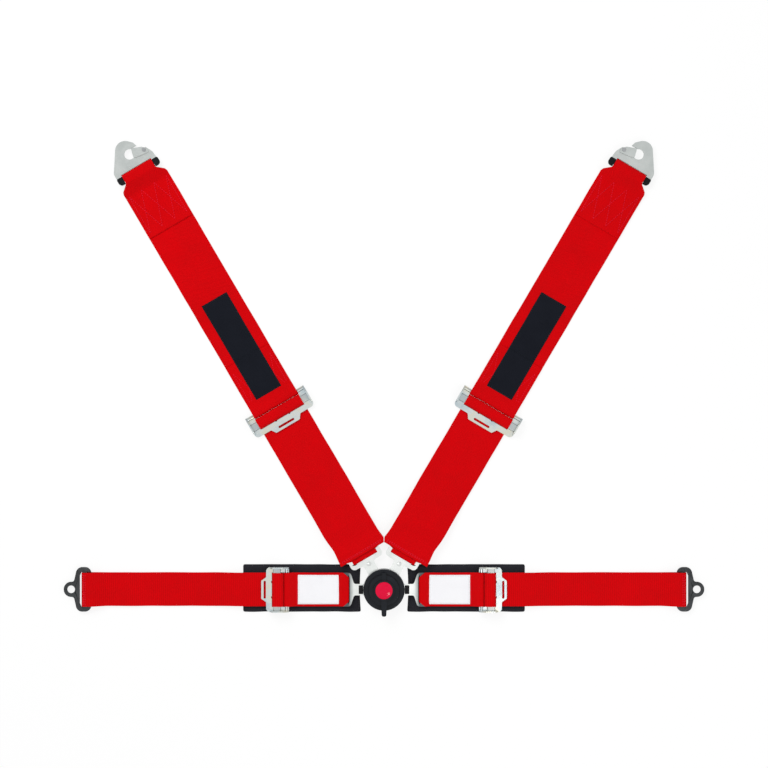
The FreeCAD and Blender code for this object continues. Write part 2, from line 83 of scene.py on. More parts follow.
# node graphs: Value wraps one socket, so that shader maths reads as Python
class Value:
    def __init__(self, graph, socket):
        self.graph = graph
        self.socket = socket

    def math(self, operation, *others):
        return self.graph.add("ShaderNodeMath", {"operation": operation}, [self, *others])

    def __add__(self, other):
        return self.math("ADD", other)

    def __radd__(self, other):
        return self.graph.math("ADD", other, self)

    def __sub__(self, other):
        return self.math("SUBTRACT", other)

    def __rsub__(self, other):
        return self.graph.math("SUBTRACT", other, self)

    def __mul__(self, other):
        return self.math("MULTIPLY", other)

    def __rmul__(self, other):
        return self.graph.math("MULTIPLY", other, self)

    def sine(self):
        return self.math("SINE")

    def size(self):
        return self.math("ABSOLUTE")

    def power(self, other):
        return self.math("POWER", other)


class Graph:
    def __init__(self, name, tree=None):
        if tree:
            self.tree = tree
            return
        self.material = bpy.data.materials.new(name)
        self.material.use_nodes = True
        self.tree = self.material.node_tree
        self.surface = self.tree.nodes["Principled BSDF"]

    def add(self, kind, settings=None, values=None, out=0):
        node = self.tree.nodes.new(kind)
        for key, value in (settings or {}).items():
            if key == "stops":
                ramp = node.color_ramp
                while len(ramp.elements) < len(value):
                    ramp.elements.new(0.5)
                for element, (place, colour) in zip(ramp.elements, value):
                    element.position = place
                    element.color = (*colour, 1)
            else:
                setattr(node, key, value)
        pairs = values.items() if isinstance(values, dict) else enumerate(values or [])
        for key, value in pairs:
            self.feed(node.inputs[key], value)
        return Value(self, node.outputs[out])

    def feed(self, socket, value):
        if isinstance(value, Value):
            self.tree.links.new(value.socket, socket)
        elif isinstance(value, (tuple, list)) and len(value) == 3 and socket.type == "RGBA":
            socket.default_value = (*value, 1)
        else:
            socket.default_value = value

    def math(self, operation, *values):
        return self.add("ShaderNodeMath", {"operation": operation}, values)

    def noise(self, vector, scale, detail=3.0, rough=0.55):
        return self.add("ShaderNodeTexNoise", {}, {"Vector": vector, "Scale": scale, "Detail": detail,
                                                   "Roughness": rough})

    def ramp(self, factor, stops):
        return self.add("ShaderNodeValToRGB", {"stops": stops}, {"Fac": factor})

    def blend(self, factor, first, second, mode="MIX"):
        return self.add("ShaderNodeMix", {"data_type": "RGBA", "blend_type": mode},
                        {0: factor, 6: first, 7: second}, out=2)

    def objectCoords(self):
        return self.add("ShaderNodeTexCoord", {}, {}, out=3)

    def stretched(self, vector, scale):
        return self.add("ShaderNodeMapping", {}, {"Vector": vector, "Scale": scale})

    def split(self, vector):
        first = self.add("ShaderNodeSeparateXYZ", {}, [vector])
        outputs = first.socket.node.outputs
        return [Value(self, outputs[i]) for i in range(3)]

    def bump(self, height, strength, distance):
        values = {"Strength": strength, "Distance": distance, "Height": height}
        normal = self.add("ShaderNodeBump", {}, values)
        self.feed(self.surface.inputs["Normal"], normal)

    def set(self, **values):
        names = {"colour": "Base Color", "rough": "Roughness", "metal": "Metallic", "coat": "Coat Weight",
                 "coatRough": "Coat Roughness", "sheen": "Sheen Weight", "sheenRough": "Sheen Roughness",
                 "specular": "Specular IOR Level"}
        for key, value in values.items():
            self.feed(self.surface.inputs[names[key]], value)


def linear(red, green, blue):
    # screen colour, 0 to 255, as the shader's own value
    shares = [level / 255 for level in (red, green, blue)]
    return tuple(((share + 0.055) / 1.055) ** 2.4 if share > 0.04 else share / 12.92 for share in shares)


webbingLook = {"red": linear(218, 0, 8), "deep": linear(172, 0, 3), "rough": 0.74,
               "shoulderPitch": 0.0024, "lapPitch": 0.0031, "slope": 0.72, "yarn": 0.0012}


def webbingMaterial(name, kind):
    graph = Graph(name)
    uv = graph.add("ShaderNodeUVMap", {"uv_map": "weave"}, {})
    along, across, _ = graph.split(uv)
    turn = 2 * math.pi
    yarn = (across * (turn / webbingLook["yarn"])).sine()
    if kind == "twill":
        pitch = webbingLook["shoulderPitch"]
        ridge = (along * (turn / pitch) + across * (turn / pitch * webbingLook["slope"])).sine()
    else:
        ridge = (along * (turn / webbingLook["lapPitch"])).sine()
    wobble = graph.noise(uv, 55.0, 4.0)
    patches = graph.noise(uv, 9.0, 3.0)
    height = ridge * 0.6 + yarn * 0.3 + wobble * 0.5
    # colour: painted shade in the weave's valleys, from the same ridges and yarns as the bump, mixed with random
    # tone from the noise patches
    toneAndPaintedShade = (ridge * 0.16 + yarn * 0.07 + wobble * 0.35 + patches * 0.45) + 0.15
    colour = graph.blend(toneAndPaintedShade, webbingLook["deep"], webbingLook["red"])
    graph.set(colour=colour, rough=wobble * 0.18 + webbingLook["rough"], sheen=0.02, sheenRough=0.45,
              specular=0.09)
    graph.bump(height, 0.5, 0.00035)
    return graph.material


def fabricMaterial(name, colour, pale, pitch, strength):
    # plain weave read from the piece's own place
    graph = Graph(name)
    x, y, _ = graph.split(graph.objectCoords())
    turn = 2 * math.pi / pitch
    weave = (x * turn).sine() * (y * turn).sine()
    fibres = graph.noise(graph.objectCoords(), 900.0, 4.0)
    patches = graph.noise(graph.objectCoords(), 30.0, 3.0)
    # colour: painted shade in the weave's hollows, from the same weave as the bump, mixed with random tone from
    # fibres and patches
    toneAndPaintedShade = weave * 0.18 + fibres * 0.3 + patches * 0.4 + 0.1
    graph.set(colour=graph.blend(toneAndPaintedShade, colour, pale), rough=fibres * 0.2 + 0.7, sheen=0.02, sheenRough=0.4,
              specular=0.1)
    graph.bump(weave * 0.7 + fibres * 0.5, strength, 0.0003)
    return graph.material


def threadMaterial(name, colour, deep):
    graph = Graph(name)
    place = graph.objectCoords()
    fibres = graph.noise(graph.stretched(place, (1.0, 1.0, 3.0)), 1400.0, 3.0)
    graph.set(colour=graph.blend(fibres, deep, colour), rough=fibres * 0.25 + 0.4, sheen=0.05, specular=0.25)
    graph.bump(fibres, 0.5, 0.0001)
    return graph.material


def platedMaterial(name, stops, rough, grain, metal=1.0, dishShade=None):
    # zinc or nickel plate: cloudy tints, fine grain, and duller patches from handling; a dished plate
    # gets painted shade, darker along x between the dish's start and end in millimetres
    graph = Graph(name)
    place = graph.objectCoords()
    clouds = graph.noise(place, 42.0, 4.0, 0.6)
    fine = graph.noise(graph.stretched(place, (1.0, 1.0, 6.0)), 1800.0, 3.0)
    scuffs = graph.noise(place, 210.0, 6.0, 0.7)
    tint = graph.ramp(clouds, stops)
    wornAndShaded = graph.blend(scuffs * 0.35, tint, (0.93, 0.93, 0.93), "MULTIPLY")
    # painted shade across the dish: the colour is multiplied darker as |x| runs from the dish's start to its end
    if dishShade:
        span = dishShade["end"] - dishShade["start"]
        out = graph.split(place)[0].size() * (1000 / span) - dishShade["start"] / span
        wornAndShaded = graph.blend(1.0, wornAndShaded, graph.ramp(out, dishShade["stops"]), "MULTIPLY")
    graph.set(colour=wornAndShaded, metal=metal, rough=clouds * 0.12 + scuffs * 0.16 + rough)
    graph.bump(fine * 0.6 + scuffs * 0.4, grain, 0.00008)
    return graph.material


def mouldedMaterial(name, colour, pale, rough, coat=0.0):
    # moulded plastic: fine spark texture and lighter rubbed patches
    graph = Graph(name)
    place = graph.objectCoords()
    spark = graph.noise(place, 2600.0, 2.0)
    rubbed = graph.noise(place, 75.0, 5.0, 0.65)
    graph.set(colour=graph.blend(rubbed.power(2.5), colour, pale), rough=rubbed * 0.2 + rough, coat=coat,
              coatRough=0.12, specular=0.14)
    graph.bump(spark * 0.6 + rubbed * 0.3, 0.35, 0.00012)
    return graph.material


def badgeMaterial(name):
    graph = Graph(name)
    place = graph.objectCoords()
    flecks = graph.noise(place, 700.0, 3.0)
    deep = graph.noise(place, 60.0, 2.0)
    graph.set(colour=graph.blend(deep * 0.6 + flecks * 0.3, linear(204, 0, 46), linear(226, 0, 62)),
              rough=flecks * 0.08 + 0.16, coat=0.22, coatRough=0.04, specular=0.05)
    graph.bump(deep, 0.05, 0.0002)
    return graph.material


def tints(*greys):
    # colour stops from (place, red, green, blue) rows
    return [(place, linear(*colour)) for place, *colour in greys]


nickel = tints((0.2, 214, 218, 216), (0.8, 246, 248, 246))
# painted shade for the lap tongue: white to near black between 42 and 53 mm out along x, across its dish
tongueDishShade = {"start": 42.0, "end": 53.0,
              "stops": [(0.0, (1, 1, 1)), (0.3, (0.94, 0.95, 0.95)), (1.0, (0.13, 0.14, 0.15))]}
adjusterZinc = tints((0.25, 172, 192, 204), (0.5, 214, 220, 218), (0.75, 224, 214, 182))
lockZinc = tints((0.3, 170, 182, 190), (0.8, 214, 214, 204))
hookGrey = tints((0.2, 186, 192, 190), (0.8, 216, 220, 218))
bareSteel = tints((0.2, 150, 152, 154), (0.8, 196, 198, 200))
bareAlloy = tints((0.2, 170, 172, 176), (0.8, 208, 210, 212))
phosphate = tints((0.25, 46, 48, 50), (0.75, 84, 87, 89))
materials = {
    "shoulderWebbing": webbingMaterial("shoulder twill webbing", "twill"),
    "lapWebbing": webbingMaterial("lap ribbed webbing", "ribbed"),
    "padFabric": fabricMaterial("pad fabric", linear(22, 22, 26), linear(46, 46, 52), 0.0016, 0.6),
    "labelDark": fabricMaterial("dark woven label", linear(12, 14, 20), linear(28, 31, 40), 0.0009, 0.35),
    "labelLight": fabricMaterial("light woven label", linear(226, 226, 230), linear(250, 250, 252),
                                 0.0009, 0.25),
    "redThread": threadMaterial("red sewing thread", linear(232, 2, 44), linear(208, 0, 30)),
    "darkThread": threadMaterial("dark sewing thread", linear(44, 44, 50), linear(20, 20, 24)),
    "paleThread": threadMaterial("pale sewing thread", linear(236, 236, 238), linear(190, 190, 194)),
    "tongueSteel": platedMaterial("satin nickel tongue", nickel, 0.24, 0.25),
    # the lap tongue's steel, with painted shade across its dish
    "dishShadedSteel": platedMaterial("dished nickel tongue with painted shade", nickel, 0.24, 0.25, 1.0, tongueDishShade),
    "zinc": platedMaterial("bright zinc adjuster", adjusterZinc, 0.16, 0.25),
    "lockZinc": platedMaterial("zinc lock bar", lockZinc, 0.3, 0.5),
    "hookSteel": platedMaterial("grey plated hook", hookGrey, 0.34, 0.3, 0.85),
    "plainSteel": platedMaterial("plain steel", bareSteel, 0.28, 0.3),
    "alloy": platedMaterial("machined alloy", bareAlloy, 0.35, 0.35),
    "bracketSteel": platedMaterial("dark phosphated bracket", phosphate, 0.4, 0.5, 0.7),
    "blackPlastic": mouldedMaterial("black moulded buckle", linear(17, 19, 23), linear(34, 39, 47),
                                    0.24, 0.06),
    "guardPlastic": mouldedMaterial("black guard plastic", linear(14, 14, 16), linear(40, 40, 44), 0.45),
    "badge": badgeMaterial("crimson domed badge"),
}
slotMaterials = {"webbing": "shoulderWebbing", "pad_fabric": "padFabric", "tongue_steel": "tongueSteel",
                 "adjuster_zinc": "zinc", "lock_bar_zinc": "lockZinc", "hook_steel": "hookSteel",
                 "gate_steel": "hookSteel", "guard_plastic": "guardPlastic", "rivet_steel": "plainSteel",
                 "spring_steel": "plainSteel", "bracket_steel": "bracketSteel",
                 "buckle_plastic": "blackPlastic", "badge": "badge", "inner_alloy": "alloy",
                 "label_dark": "labelDark", "label_light": "labelLight"}
print("materials made")


# arms: each piece is made in millimetres on an arm that runs out along x, then placed
def direction(jointName):
    return Vector(joints[jointName]["axis"])


def armMatrices():
    out = direction("right_shoulder_release")
    turned = Matrix.Rotation(math.atan2(out.y, out.x), 4, "Z")
    scale = Matrix.Scale(0.001, 4)
    flip = Matrix.Scale(-1, 4, (1, 0, 0))
    return {"right_lap": scale, "left_lap": flip @ scale,
            "right_shoulder": turned @ scale, "left_shoulder": flip @ turned @ scale}


armPlaces = armMatrices()
shoulderOut = direction("right_shoulder_release")


def alongShoulder(point):
    return Vector(point).dot(shoulderOut) * 1000


rearShoulder = alongShoulder(joints["right_shoulder_adjuster_tilt"]["pos_m"])
hookAxis = alongShoulder(joints["right_hook_swivel"]["pos_m"])
rearLap = joints["right_lap_adjuster_tilt"]["pos_m"][0] * 1000
bracketAxis = joints["right_bracket_swivel"]["pos_m"][0] * 1000
bracketUp = joints["right_bracket_swivel"]["pos_m"][2] * 1000
hookUp = joints["right_hook_swivel"]["pos_m"][2] * 1000
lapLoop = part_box("right_lap_inner_webbing")[0].x * 1000
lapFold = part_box("right_lap_outer_webbing")[1].x * 1000
padLow, padHigh = [corner * 1000 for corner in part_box("right_lap_pad")]
padLow.y -= 2.0                         # the sewn pad bulges a little past its slab on this side
shoulderFold = hookAxis + hookUp


def linkObject(name, bm, arm=None, smooth=True, recalc=False):
    if recalc:
        bmesh.ops.recalc_face_normals(bm, faces=bm.faces)
    if arm:
        bmesh.ops.transform(bm, matrix=armPlaces[arm], verts=bm.verts)
        if armPlaces[arm].determinant() < 0:
            bmesh.ops.reverse_faces(bm, faces=bm.faces)
    mesh = bpy.data.meshes.new(name)
    bm.to_mesh(mesh)
    bm.free()
    for face in mesh.polygons:
        face.use_smooth = smooth
    piece = bpy.data.objects.new(name, mesh)
    scene.collection.objects.link(piece)
    return piece


def finishPiece(piece, material, body=None, replaced=()):
    piece.data.materials.clear()
    piece.data.materials.append(materials[material])
    if replaced:
        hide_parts(*replaced)
    if body:
        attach(piece, body)
    return piece


def roundedPath(corners, step):
    # points along straight runs and the arcs that round each (x, z, radius) corner
    points = [Vector((corners[0][0], corners[0][1]))]
    for i in range(1, len(corners) - 1):
        corner = Vector(corners[i][:2])
        back = (Vector(corners[i - 1][:2]) - corner).normalized()
        ahead = (Vector(corners[i + 1][:2]) - corner).normalized()
        half = back.angle(ahead) / 2
        radius = corners[i][2] if len(corners[i]) > 2 else 0.5
        reach = radius / math.tan(half)
        centre = corner + (back + ahead).normalized() * (radius / math.sin(half))
        start = corner + back * reach - centre
        turn = start.angle_signed(corner + ahead * reach - centre)
        count = max(3, math.ceil(abs(turn) * 6))
        for k in range(count + 1):
            points.append(centre + Matrix.Rotation(-turn * k / count, 2) @ start)
    points.append(Vector(corners[-1][:2]))
    spaced = [points[0]]
    for point in points[1:]:
        gap = (point - spaced[-1]).length
        if gap < 1e-4:
            continue
        count = max(1, round(gap / step))
        first = spaced[-1].copy()
        spaced += [first.lerp(point, k / count) for k in range(1, count + 1)]
    return spaced


def isAlong(edge):
    # an edge that runs along the webbing, not across it
    return abs(edge.verts[0].co.y - edge.verts[1].co.y) < 1e-6


webbingForm = {"thickness": 1.3, "columns": 18, "step": 4.0, "sideways": 0.35, "ripple": 0.25,
               "selvedge": 0.00045}


def strap(name, arm, corners, width, outline=None, thickness=webbingForm["thickness"],
          columns=webbingForm["columns"], step=webbingForm["step"], seed=0.0):
    # one length of webbing: a profile carried across, with its own UV map in metres
    bm = bmesh.new()
    alongLayer = bm.verts.layers.float.new("along")
    points = roundedPath(corners, step)
    total = 0.0
    previous = None
    row = []
    for point in points:
        vert = bm.verts.new((point.x, -width / 2, point.y))
        if previous is not None:
            total += (point - previous).length
        vert[alongLayer] = total
        previous = point
        row.append(vert)
    edges = [bm.edges.new(pair) for pair in zip(row, row[1:])]
    for _ in range(columns):
        made = bmesh.ops.extrude_edge_only(bm, edges=edges)["geom"]
        verts = [v for v in made if isinstance(v, bmesh.types.BMVert)]
        bmesh.ops.translate(bm, vec=(0, width / columns, 0), verts=verts)
        edges = [e for e in made if isinstance(e, bmesh.types.BMEdge) and isAlong(e)]
    uvLayer = bm.loops.layers.uv.new("weave")
    for face in bm.faces:
        for loop in face.loops:
            loop[uvLayer].uv = (loop.vert[alongLayer] / 1000, loop.vert.co.y / 1000)
    for vert in bm.verts:
        across = vert.co.y / (width / 2)
        wave = noise.noise(Vector((vert.co.x / 38, across * 1.2, seed + vert.co.z / 30)))
        if outline:
            vert.co.y *= outline(vert.co.x, vert.co.y)
        vert.co.y += wave * webbingForm["sideways"]
        vert.co.z += max(0.0, wave) * webbingForm["ripple"]
    bm.verts.layers.float.remove(alongLayer)
    piece = linkObject(name, bm, arm)
    solid = piece.modifiers.new("thickness", "SOLIDIFY")
    solid.thickness = thickness / 1000
    solid.offset = 0
    bevel = piece.modifiers.new("selvedge", "BEVEL")
    bevel.width = webbingForm["selvedge"]
    bevel.segments = 2
    bevel.angle_limit = math.radians(60)
    return piece


def smoothStep(value, low, high):
    t = min(1.0, max(0.0, (value - low) / (high - low)))
    return t * t * (3 - 2 * t)


# stitches: short ovals of thread laid along a line of points, sizes in millimetres
stitchSize = {"length": 3.1, "pitch": 3.6, "share": 0.86, "radius": 0.62, "flat": 0.9, "proud": 0.9,
              "backHeight": 0.62}


def addStitch(bm, start, end, up, radius):
    span = end - start
    side = up.cross(span).normalized()
    axes = Matrix((span.normalized() * span.length / 2, side * radius, up * radius * stitchSize["flat"]))
    place = axes.transposed().to_4x4()
    place.translation = (start + end) / 2
    bmesh.ops.create_icosphere(bm, subdivisions=1, radius=1.0, matrix=place)


def sew(name, arm, lines, material, body, radius=stitchSize["radius"]):
    bm = bmesh.new()
    upward = Vector((0, 0, 1))
    for line in lines:
        for start, end in zip(line, line[1:]):
            first = Vector(start)
            last = Vector(end)
            length = (last - first).length
            count = max(1, round(length / stitchSize["pitch"]))
            for k in range(count):
                centre = first.lerp(last, (k + 0.5) / count)
                shown = min(stitchSize["length"], length / count * stitchSize["share"])
                half = (last - first).normalized() * shown / 2
                addStitch(bm, centre - half, centre + half, upward, radius)
    return finishPiece(linkObject(name, bm, arm, recalc=True), material, body)


def crossLines(xs, half, height):
    # straight rows of stitches from edge to edge
    return [[(x, -half, height), (x, half, height)] for x in xs]


# the webbing's middle line, in millimetres: its height in one and two layers, and its turns round the bars
layer = {"first": 0.7, "second": 2.2}
turns = {"tongue": 2.25, "tongueArc": 2.24, "rear": 3.5, "rearArc": 3.49, "rearTop": 7.7, "hem": 0.72,
         "slack": 0.01}

# shoulder straps
shoulder = {"width": 75.0, "hemEnd": 61.4, "hemLength": 13.0, "loopHalf": 20.0, "loopEnd": 60.5,
            "hemHalf": 35.6, "flare": 1.6, "waist": 2.0, "meeting": 0.42, "foldWidth": 50.4,
            "sewnLow": rearShoulder + 83.4, "sewnHigh": shoulderFold - 102.6, "bendLength": 95}
tongueMiddle = sum(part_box("right_shoulder_tongue")[i].z for i in range(2)) / 2 * 1000
barStart = shoulder["hemEnd"] - 6.4
barHalf = 1.25
wrapShape = {"low": 4.9, "high": 21.0, "top": 10.6, "end": 24.8}


def wrapCorners(rear, way, lift):
    # webbing round the lock bar, from its lower layer to the tail above it
    low = rear + way * wrapShape["low"]
    high = rear + way * wrapShape["high"]
    top = lift + wrapShape["top"]
    return [(low, lift + layer["first"], 2.4), (low, top, 4.6), (high, top, 5.0),
            (high, lift + layer["second"], 1.3)]


def shoulderLowerCorners():
    # from the sewn end, round the tongue's bar, out along the floor, round the lock bar and back to the hem
    turn = barStart + barHalf - turns["tongue"]
    low = tongueMiddle - turns["tongue"]
    top = tongueMiddle + turns["tongue"]
    hem = shoulder["hemEnd"] + 0.7
    tail = top + 2.9
    under = [(150, 1.9), (113, low, 40), (turn, low, turns["tongueArc"]), (turn, top, turns["tongueArc"]),
             (64, top, 6), (86, 8.5, 16), (112, 8.2, 30), (172, layer["first"], 60)]
    over = [(172, layer["second"], 60), (112, 9.7, 30), (88, 10.2, 12), (76, tail, 6),
            (hem, tail, turns["hem"]), (hem, top + 1.45, turns["hem"]),
            (hem + shoulder["hemLength"] - 2, top + 1.45)]
    return under + wrapCorners(rearShoulder, -1, 0) + over


def shoulderLowerOutline(x, y):
    # the tails meet on the middle plane at their inner corners, flare at the hem and are waisted behind it
    half = shoulder["width"] / 2
    if x < shoulder["loopEnd"]:
        return shoulder["loopHalf"] / half
    flared = half + shoulder["flare"] * (1 - smoothStep(x, 66, 84))
    if y > 0:
        return min(flared, (x * shoulderOut.x - shoulder["meeting"]) / shoulderOut.y) / half
    return (half + 0.3 - shoulder["waist"] * math.exp(-(((x - 86) / 15) ** 2))) / half


def shoulderUpperOutline(x, _):
    # full width up to the hook, then gathered in to the hook's slot
    narrow = shoulder["foldWidth"] / shoulder["width"]
    return 1 - (1 - narrow) * smoothStep(x, shoulderFold - 26.5, shoulderFold - 13.5)


def shoulderUpperCorners():
    # from the sewn end at the adjuster, round its rear bar, along the floor, round the hook's bar and back
    rear = rearShoulder - turns["rear"]
    fold = shoulderFold - layer["first"]
    arc = hookUp - layer["first"] - turns["slack"]
    return [(shoulder["sewnLow"], layer["second"]), (rearShoulder + 20, layer["second"], 22),
            (rearShoulder + 4, turns["rearTop"], 5), (rear, turns["rearTop"], turns["rearArc"]),
            (rear, layer["first"], turns["rearArc"]), (fold, layer["first"], arc),
            (fold, 2 * hookUp - layer["first"], arc), (fold - 14, 2 * hookUp - 1.0, 8),
            (fold - 33, layer["second"], 14), (shoulder["sewnHigh"], layer["second"])]


wSewing = {"columns": (-32.0, -11.0, 11.0, 32.0), "order": (0, 0, 1, 2, 3, 3, 2, 1, 0),
           "high": (635.0, 698.0), "low": (331.0, 391.0), "lowSunk": 0.25, "lowRadius": 0.5}


def wLines(rows, height):
    # one line of thread that goes up and down between two rows, and makes a closed double W
    columns = [wSewing["columns"][k] for k in wSewing["order"]]
    return [[(rows[k % 2], y, height) for k, y in enumerate(columns)]]


def makeShoulder(side):
    arm = side + "_shoulder"
    body = arm + "_strap"
    adjuster = arm + "_adjuster"
    place = armPlaces[arm]
    lower = strap(arm + "_running_strap", arm, shoulderLowerCorners(), shoulder["width"],
                  shoulderLowerOutline, seed=3.0)
    finishPiece(lower, "shoulderWebbing", None, [arm + "_lower_webbing", arm + "_webbing_wrap"])
    bendFrom = place @ Vector((rearShoulder - shoulder["bendLength"], 0, 0))
    bendTo = place @ Vector((rearShoulder - wrapShape["end"], 0, 0))
    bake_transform(lower, body, adjuster, start=bendFrom, end=bendTo)
    upper = strap(arm + "_sewn_strap", arm, shoulderUpperCorners(), shoulder["width"],
                  shoulderUpperOutline, seed=9.0)
    finishPiece(upper, "shoulderWebbing", body, [arm + "_upper_webbing"])
    surface = layer["second"] + stitchSize["proud"]
    hookLines = wLines(wSewing["high"], surface)
    sew(arm + "_hook_stitching", arm, hookLines, "redThread", body)
    adjusterLines = wLines(wSewing["low"], surface - wSewing["lowSunk"])
    sew(arm + "_adjuster_stitching", arm, adjusterLines, "redThread", body, wSewing["lowRadius"])
    hemTop = tongueMiddle + turns["tongue"] + 2.9 + stitchSize["proud"]
    edge = shoulder["hemHalf"] - 1.5
    hemLines = crossLines((65.4, 67.2), edge, hemTop)
    sew(arm + "_hem_stitching", arm, hemLines, "redThread", body)
    backLines = wLines(wSewing["high"], stitchSize["backHeight"])
    sew(arm + "_back_stitching", arm, backLines, "redThread", body)


for side in ("left", "right"):
    makeShoulder(side)
print("shoulder straps made")


# lap straps
lap = {"width": 50.0, "lift": 5.3, "foldHalf": 16.7, "foldReach": 8.6, "returnLength": 85.0,
       "hemLength": 14.0, "bendLength": 95}


def lapBody(side):
    # the left lap strap is fixed to the buckle
    return "buckle" if side == "left" else "right_lap_strap"


def lapInnerOutline(x, _):
    narrow = 2 * lap["foldHalf"] / lap["width"]
    return narrow + (1 - narrow) * min(1.0, max(0.0, (x - lapLoop) / lap["foldReach"]) ** 0.8)


def lapInnerCorners():
    # from the joint in the lower layer, round the tongue's bar, back on top, round the rear bar to the joint
    fold = lapLoop + layer["first"]
    low = tongueMiddle - turns["tongue"]
    top = tongueMiddle + turns["tongue"]
    under = lap["lift"] + layer["first"]
    over = lap["lift"] + layer["second"]
    rearTop = lap["lift"] + turns["rearTop"]
    rear = rearLap + turns["rear"]
    return [(100.4, under), (72, under, 12), (62, low, 12), (fold, low, turns["tongueArc"]),
            (fold, top, turns["tongueArc"]), (61.5, top, 4), (69.5, over, 6), (rearLap - 15, over, 12),
            (rearLap - 4, rearTop, 5), (rear, rearTop, turns["rearArc"]), (rear, under, turns["rearArc"]),
            (100.8, under)]


def lapOuterCorners():
    # from the sewn return, round the bracket's bar, along the floor, up the pad, round the lock bar and back
    first = layer["first"]
    second = layer["second"]
    end = padHigh.x
    fold = lapFold - first
    top = 2 * bracketUp - first
    arc = bracketUp - first - turns["slack"]
    lift = lap["lift"]
    under = [(bracketAxis - lap["returnLength"], second), (bracketAxis - 32, second, 20),
             (bracketAxis - 9, top, 8), (fold, top, arc), (fold, first, arc), (end + 44, first, 70),
             (end + 8, lift + first, 60)]
    hem = bracketAxis + 2.6
    tail = top + 2.95
    over = [(end + 8, lift + second, 60), (end + 44, second, 70), (bracketAxis - 96, second, 10),
            (bracketAxis - 82, 3.7, 10), (bracketAxis - 32, 3.7, 20), (bracketAxis - 11, tail, 7),
            (hem, tail, turns["hem"]), (hem, top + 1.5, turns["hem"]), (hem - lap["hemLength"], top + 1.5)]
    return under + wrapCorners(rearLap, 1, lift) + over


labels = {"darkWidth": 43.0, "darkStart": 19.6, "darkEnd": 181.7, "darkSeat": 0.65, "darkInset": 1.6,
          "lightWidth": 43.5, "lightStart": 67.2, "lightEnd": 128.3, "lightSeat": 0.75, "lightInset": 1.4,
          "thick": 0.45, "gap": 0.1, "columns": 10, "step": 3.0, "threadProud": 0.22}


def borderLine(xs, half, heightAt):
    # stitch line round a label, following its step
    top = [(x, half, heightAt(x)) for x in xs]
    low = [(x, -half, heightAt(x)) for x in reversed(xs)]
    return top + low + top[:1]


def makeDarkLabel(side):
    # on the shoulder strap, stepping down over the end of the sewn layer
    arm = side + "_shoulder"
    start = rearShoulder + labels["darkStart"]
    end = rearShoulder + labels["darkEnd"]
    step = shoulder["sewnLow"]
    high = layer["second"] + labels["darkSeat"] + labels["thick"] / 2 + labels["gap"]
    low = high - 1.5
    corners = [(start, high), (step + 0.4, high, 1.0), (step + 2.2, low, 1.0), (end, low)]
    label = strap(arm + "_dark_label", arm, corners, labels["darkWidth"], None, labels["thick"],
                  labels["columns"], labels["step"], 21.0)
    finishPiece(label, "labelDark", arm + "_strap", [arm + "_label"])
    over = labels["thick"] / 2 + labels["threadProud"]
    half = labels["darkWidth"] / 2 - labels["darkInset"]
    line = borderLine([start + 1.8, step + 0.6, step + 1.6, end - 1.8], half,
                      lambda x: (high if x < step + 1 else low) + over)
    sew(arm + "_label_stitching", arm, [line], "darkThread", arm + "_strap", 0.32)


def makeLightLabel(side):
    arm = side + "_lap"
    body = lapBody(side)
    start = labels["lightStart"]
    end = labels["lightEnd"]
    high = lap["lift"] + layer["second"] + labels["lightSeat"] + labels["thick"] / 2 + labels["gap"]
    label = strap(arm + "_light_label", arm, [(start, high + 0.4), (start + 3, high, 6), (end, high)],
                  labels["lightWidth"], None, labels["thick"], labels["columns"], labels["step"], 31.0)
    finishPiece(label, "labelLight", body, [arm + "_label"])
    over = labels["thick"] / 2 + labels["threadProud"]
    half = labels["lightWidth"] / 2 - labels["lightInset"]
    line = borderLine([start + 1.6, end - 1.6], half, lambda x: high + over)
    sew(arm + "_label_stitching", arm, [line], "paleThread", body, 0.3)


# pads: foam in fabric, thin at the rim, with a sewn channel all round
padShape = {"edge": 5.0, "rim": 1.5, "crown": 4.9, "ceiling": 4.98, "corner": 2.2, "step": 2.6, "wave": 0.9,
            "puff": 0.35, "channelDepth": 0.55, "channelInset": 8.0, "channelHalf": 1.1, "bow": 1.6,
            "threadInset": 3.4, "threadHeight": 2.9}


def channelDepth(fromEdge):
    spread = (fromEdge - padShape["channelInset"]) / padShape["channelHalf"]
    return padShape["channelDepth"] * math.exp(-(spread ** 2))


